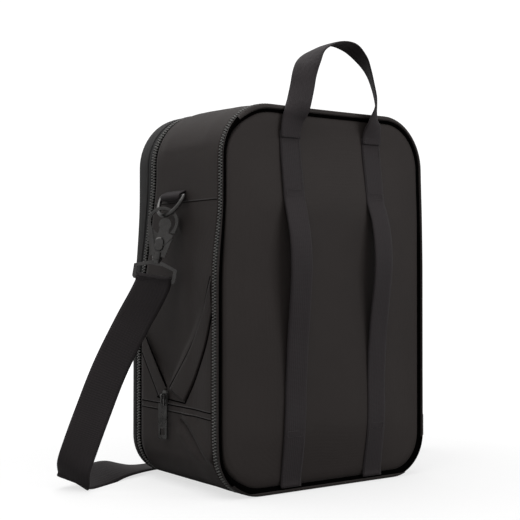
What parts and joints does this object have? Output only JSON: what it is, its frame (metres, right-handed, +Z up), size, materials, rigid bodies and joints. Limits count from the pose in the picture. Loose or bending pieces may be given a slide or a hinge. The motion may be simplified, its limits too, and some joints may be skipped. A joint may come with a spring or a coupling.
{
  "type": "shoe bag",
  "caption": "Boxy travel shoe bag with a carry handle, zipped front and back covers, side pleats and a clip-on shoulder strap.",
  "frame": {"origin": "centre of the bag's base, on the surface that it stands on", "axes": "+X to the right of the front panel, -Y out of the front panel, +Z up"},
  "size_m": [0.5068, 0.2541, 0.4796],
  "materials": {
    "fabric": "matte coated nylon, near-black charcoal, fine weave",
    "webbing": "ribbed nylon webbing, near-black",
    "zip_tape": "woven zip tape and nylon coil, black",
    "board": "fabric-covered stiffener board",
    "hardware": "satin moulded plastic, dark grey",
    "zip_metal": "black painted die-cast metal, satin",
    "pin": "steel pin"
  },
  "bodies": {
    "bag_body": {"side_wall": "fabric", "divider_panel": "fabric", "base_boards": "board", "front_hinge_strip": "fabric", "back_hinge_strip": "fabric", "front_zip_base": "zip_tape", "back_zip_base": "zip_tape", "back_piping": "fabric", "side_pleat_left": "fabric", "side_pleat_right": "fabric", "pleat_tapes_left": "zip_tape", "pleat_tapes_right": "zip_tape", "pleat_slider_left": "zip_metal", "pleat_slider_right": "zip_metal", "ring_tab_left": "webbing", "ring_tab_right": "webbing", "strap_floor_run": "webbing", "strap_adjuster": "hardware"},
    "front_cover": {"front_panel": "fabric", "front_board": "board", "front_rim": "fabric", "front_zip_lid": "zip_tape", "front_strap_left": "webbing", "front_strap_right": "webbing"},
    "handle": {"carry_handle": "webbing"},
    "back_cover": {"back_panel": "fabric", "back_board": "board", "back_rim": "fabric", "back_zip_lid": "zip_tape"},
    "front_slider": {"front_slider": "zip_metal"},
    "front_pull": {"front_pull": "zip_metal"},
    "back_slider": {"back_slider": "zip_metal"},
    "back_pull": {"back_pull": "zip_metal"},
    "d_ring_left": {"d_ring_left": "hardware"},
    "strap_end_left": {"strap_drop_left": "webbing", "strap_loop_left": "webbing", "swivel_eye_left": "hardware"},
    "hook_left": {"hook_body_left": "hardware", "gate_pin_left": "pin"},
    "gate_left": {"hook_gate_left": "hardware"},
    "pleat_pull_left": {"pleat_pull_left": "zip_metal"},
    "d_ring_right": {"d_ring_right": "hardware"},
    "strap_end_right": {"strap_drop_right": "webbing", "strap_loop_right": "webbing", "swivel_eye_right": "hardware"},
    "hook_right": {"hook_body_right": "hardware", "gate_pin_right": "pin"},
    "gate_right": {"hook_gate_right": "hardware"},
    "pleat_pull_right": {"pleat_pull_right": "zip_metal"}
  },
  "joints": [
    {"name": "front_cover_hinge", "type": "hinge", "parent": "bag_body", "child": "front_cover", "pos_m": [0, -0.0927, 0.004], "axis": [1, 0, 0], "range_deg": [0, 88]},
    {"name": "handle_fold", "type": "hinge", "parent": "front_cover", "child": "handle", "pos_m": [0, -0.0936, 0.4061], "axis": [1, 0, 0], "range_deg": [-40, 90]},
    {"name": "back_cover_hinge", "type": "hinge", "parent": "bag_body", "child": "back_cover", "pos_m": [0, 0.0846, 0.004], "axis": [-1, 0, 0], "range_deg": [0, 75]},
    {"name": "front_zip_slide", "type": "slide", "parent": "bag_body", "child": "front_slider", "axis": [0, 0, 1], "range_m": [0, 0.26]},
    {"name": "front_pull_swing", "type": "hinge", "parent": "front_slider", "child": "front_pull", "pos_m": [0.142, -0.079, 0.074], "axis": [0, -1, 0], "range_deg": [0, 120]},
    {"name": "back_zip_slide", "type": "slide", "parent": "bag_body", "child": "back_slider", "axis": [0, 0, 1], "range_m": [0, 0.26]},
    {"name": "back_pull_swing", "type": "hinge", "parent": "back_slider", "child": "back_pull", "pos_m": [0.142, 0.0556, 0.074], "axis": [0, -1, 0], "range_deg": [0, 120]},
    {"name": "strap_pull_out_left", "type": "slide", "parent": "bag_body", "child": "strap_end_left", "axis": [-0.809, 0, 0.5878], "range_m": [0, 0.0063], "deforming": ["strap_drop_left"]},
    {"name": "d_ring_swing_left", "type": "hinge", "parent": "bag_body", "child": "d_ring_left", "pos_m": [-0.1425, 0.001, 0.3095], "axis": [0, 1, 0], "range_deg": [0, 16]},
    {"name": "hook_swivel_left", "type": "hinge", "parent": "strap_end_left", "child": "hook_left", "pos_m": [-0.1595, 0.0047, 0.243], "axis": [0.1444, -0.0759, 0.9866], "range_deg": [-2, 4]},
    {"name": "gate_press_left", "type": "hinge", "parent": "hook_left", "child": "gate_left", "pos_m": [-0.15719, 0.00348, 0.25879], "axis": [-0.5605, -0.828, 0.0183], "range_deg": [0, 8], "stiffness_Nm_per_rad": 0.02, "springref_deg": -11.46},
    {"name": "pleat_pull_swing_left", "type": "hinge", "parent": "bag_body", "child": "pleat_pull_left", "pos_m": [-0.1429, 0.02, 0.096], "axis": [0, 1, 0], "range_deg": [0, 95]},
    {"name": "strap_pull_out_right", "type": "slide", "parent": "bag_body", "child": "strap_end_right", "axis": [0.809, 0, 0.5878], "range_m": [0, 0.0063], "deforming": ["strap_drop_right"]},
    {"name": "d_ring_swing_right", "type": "hinge", "parent": "bag_body", "child": "d_ring_right", "pos_m": [0.1425, 0.001, 0.3095], "axis": [0, -1, 0], "range_deg": [0, 16]},
    {"name": "hook_swivel_right", "type": "hinge", "parent": "strap_end_right", "child": "hook_right", "pos_m": [0.1595, 0.0047, 0.243], "axis": [0.1444, 0.0759, -0.9866], "range_deg": [-2, 4]},
    {"name": "gate_press_right", "type": "hinge", "parent": "hook_right", "child": "gate_right", "pos_m": [0.15719, 0.00348, 0.25879], "axis": [-0.5605, 0.828, -0.0183], "range_deg": [0, 8], "stiffness_Nm_per_rad": 0.02, "springref_deg": -11.46},
    {"name": "pleat_pull_swing_right", "type": "hinge", "parent": "bag_body", "child": "pleat_pull_right", "pos_m": [0.1429, 0.02, 0.096], "axis": [0, -1, 0], "range_deg": [0, 95]}
  ],
  "couplings": [
    {"joint": "d_ring_swing_left", "follows": "strap_pull_out_left", "rad_per_m": 44.002},
    {"joint": "d_ring_swing_right", "follows": "strap_pull_out_right", "rad_per_m": 44.002}
  ]
}
